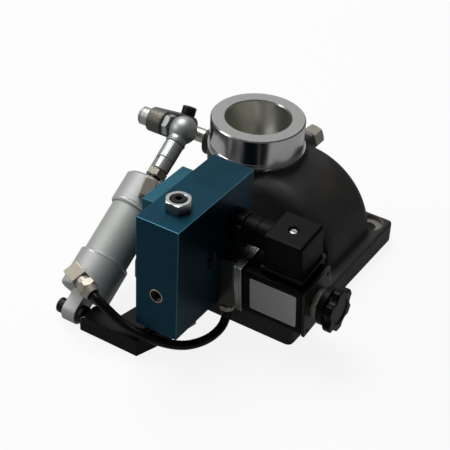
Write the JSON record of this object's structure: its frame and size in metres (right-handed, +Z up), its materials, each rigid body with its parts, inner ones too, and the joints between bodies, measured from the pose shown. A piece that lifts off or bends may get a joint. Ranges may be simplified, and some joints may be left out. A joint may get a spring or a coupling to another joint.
{
  "type": "compressor intake valve",
  "caption": "Air intake valve: cast elbow body, bare metal inlet collar, throttle lever moved by a small air cylinder, blue control block with a solenoid coil, plug connector and hand knob",
  "frame": {"origin": "centre of the four flange bolts and of the outlet, on the underside of the flange", "axes": "+Z up through the inlet collar; +X along the throttle shaft, away from the lever; +Y away from the control block"},
  "size_m": [0.1885, 0.2077, 0.1079],
  "materials": {
    "valve_casting": "satin black paint on cast aluminium alloy",
    "inlet_collar": "turned and polished",
    "shaft_bushes": "bronze",
    "shaft_seal": "nitrile",
    "outlet_gasket": "nitrile",
    "tapping_fitting": "nickel plated",
    "throttle_shaft": "ground",
    "throttle_disc": "machined",
    "disc_screws": "machined",
    "throttle_lever": "sand cast, dark",
    "lever_screw": "black oxide",
    "ball_stud": "bright zinc plated",
    "stud_lock_nut": "bright zinc plated",
    "ball_socket": "bright zinc plated",
    "safety_clip": "bright zinc plated",
    "rod_jam_nut": "nickel plated, dark",
    "piston_rod": "ground",
    "piston": "machined",
    "piston_seal": "nitrile",
    "cylinder_tube": "clear anodised, matt",
    "rear_cap": "clear anodised, matt",
    "front_cap": "clear anodised, matt",
    "rod_seal": "nitrile",
    "return_spring": "spring wire",
    "rear_elbow": "nickel plated",
    "rear_elbow_nut": "nickel plated",
    "front_vent": "nickel plated",
    "cylinder_bracket": "black oxide, crisp edges",
    "stop_screw": "black oxide",
    "clamp_bolts": "black oxide",
    "pivot_screw": "black oxide",
    "pivot_washer": "ground",
    "control_block": "blue anodised, brushed",
    "block_spacer": "machined",
    "rear_plate": "blue anodised, brushed",
    "plate_screws": "zinc plated",
    "adjuster_screw": "black oxide",
    "adjuster_nut": "zinc plated",
    "spring_seat": "machined",
    "setting_spring": "spring wire",
    "pilot_piston": "machined",
    "chamber_plug": "zinc plated",
    "port_insert": "bronze",
    "side_plug": "black oxide",
    "valve_body": "machined",
    "yoke_sheets": "stamped and plated",
    "armature_tube": "ground",
    "plunger": "ground",
    "coil": "moulded black",
    "label_plate": "bare, satin",
    "coil_end_plate": "stamped and plated",
    "coil_nut": "nickel plated",
    "hand_knob": "moulded black",
    "connector_seal": "grey rubber",
    "plug_connector": "moulded black",
    "connector_screw": "zinc plated",
    "gland_nut": "moulded black",
    "gland_seal": "nitrile",
    "hose_fitting": "nickel plated",
    "air_hose": "black polyamide tube"
  },
  "bodies": {
    "frame": {"valve_casting": "valve_casting", "inlet_collar": "inlet_collar", "shaft_bushes": "shaft_bushes", "shaft_seal": "shaft_seal", "outlet_gasket": "outlet_gasket", "tapping_fitting": "tapping_fitting", "cylinder_bracket": "cylinder_bracket", "stop_screw": "stop_screw", "clamp_bolts": "clamp_bolts", "pivot_screw": "pivot_screw", "pivot_washer": "pivot_washer", "control_block": "control_block", "block_spacer": "block_spacer", "rear_plate": "rear_plate", "plate_screws": "plate_screws", "adjuster_nut": "adjuster_nut", "spring_seat": "spring_seat", "setting_spring": "setting_spring", "chamber_plug": "chamber_plug", "port_insert": "port_insert", "side_plug": "side_plug", "valve_body": "valve_body", "yoke_sheets": "yoke_sheets", "armature_tube": "armature_tube", "coil": "coil", "label_plate": "label_plate", "coil_end_plate": "coil_end_plate", "coil_nut": "coil_nut", "connector_seal": "connector_seal", "plug_connector": "plug_connector", "connector_screw": "connector_screw", "gland_nut": "gland_nut", "gland_seal": "gland_seal", "hose_fitting": "hose_fitting", "air_hose": "air_hose"},
    "throttle": {"throttle_shaft": "throttle_shaft", "throttle_disc": "throttle_disc", "disc_screws": "disc_screws", "throttle_lever": "throttle_lever", "lever_screw": "lever_screw", "ball_stud": "ball_stud", "stud_lock_nut": "stud_lock_nut"},
    "cylinder": {"cylinder_tube": "cylinder_tube", "front_cap": "front_cap", "rear_cap": "rear_cap", "rod_seal": "rod_seal", "rear_elbow": "rear_elbow", "rear_elbow_nut": "rear_elbow_nut", "front_vent": "front_vent", "return_spring": "return_spring"},
    "rod": {"piston": "piston", "piston_seal": "piston_seal", "piston_rod": "piston_rod", "rod_jam_nut": "rod_jam_nut", "ball_socket": "ball_socket", "safety_clip": "safety_clip"},
    "adjuster": {"adjuster_screw": "adjuster_screw"},
    "knob": {"hand_knob": "hand_knob"},
    "armature": {"plunger": "plunger"},
    "pilot": {"pilot_piston": "pilot_piston"}
  },
  "joints": [
    {"name": "throttle_turn", "type": "hinge", "parent": "frame", "child": "throttle", "pos_m": [-0.025, 0, 0.0616], "axis": [-1, 0, 0], "range_deg": [0, 50], "stiffness_Nm_per_rad": 0.7, "springref_deg": -22.92},
    {"name": "cylinder_tilt", "type": "hinge", "parent": "frame", "child": "cylinder", "pos_m": [-0.0646, -0.1502, 0.0076], "axis": [1, 0, 0], "range_deg": [-0.5, 1.2]},
    {"name": "rod_slide", "type": "slide", "parent": "cylinder", "child": "rod", "axis": [0, 0.8484, 0.5293], "range_m": [0, 0.0315]},
    {"name": "adjuster_turn", "type": "hinge", "parent": "frame", "child": "adjuster", "pos_m": [-0.002, -0.1283, 0.1], "axis": [0, 0, 1], "range_deg": [-180, 180]},
    {"name": "knob_turn", "type": "hinge", "parent": "frame", "child": "knob", "pos_m": [0.0775, -0.0855, 0.0376], "axis": [1, 0, 0], "range_deg": [-180, 180]},
    {"name": "armature_slide", "type": "slide", "parent": "frame", "child": "armature", "axis": [1, 0, 0], "range_m": [0, 0.0012], "stiffness_N_per_m": 300, "springref_m": -0.002},
    {"name": "pilot_slide", "type": "slide", "parent": "frame", "child": "pilot", "axis": [0, 0, 1], "range_m": [0, 0.002], "stiffness_N_per_m": 800, "springref_m": -0.002, "deforming": ["setting_spring"]}
  ],
  "couplings": [
    {"joint": "cylinder_tilt", "follows": "throttle_turn", "ratio": 0.010774},
    {"joint": "rod_slide", "follows": "throttle_turn", "m_per_rad": 0.035578}
  ]
}
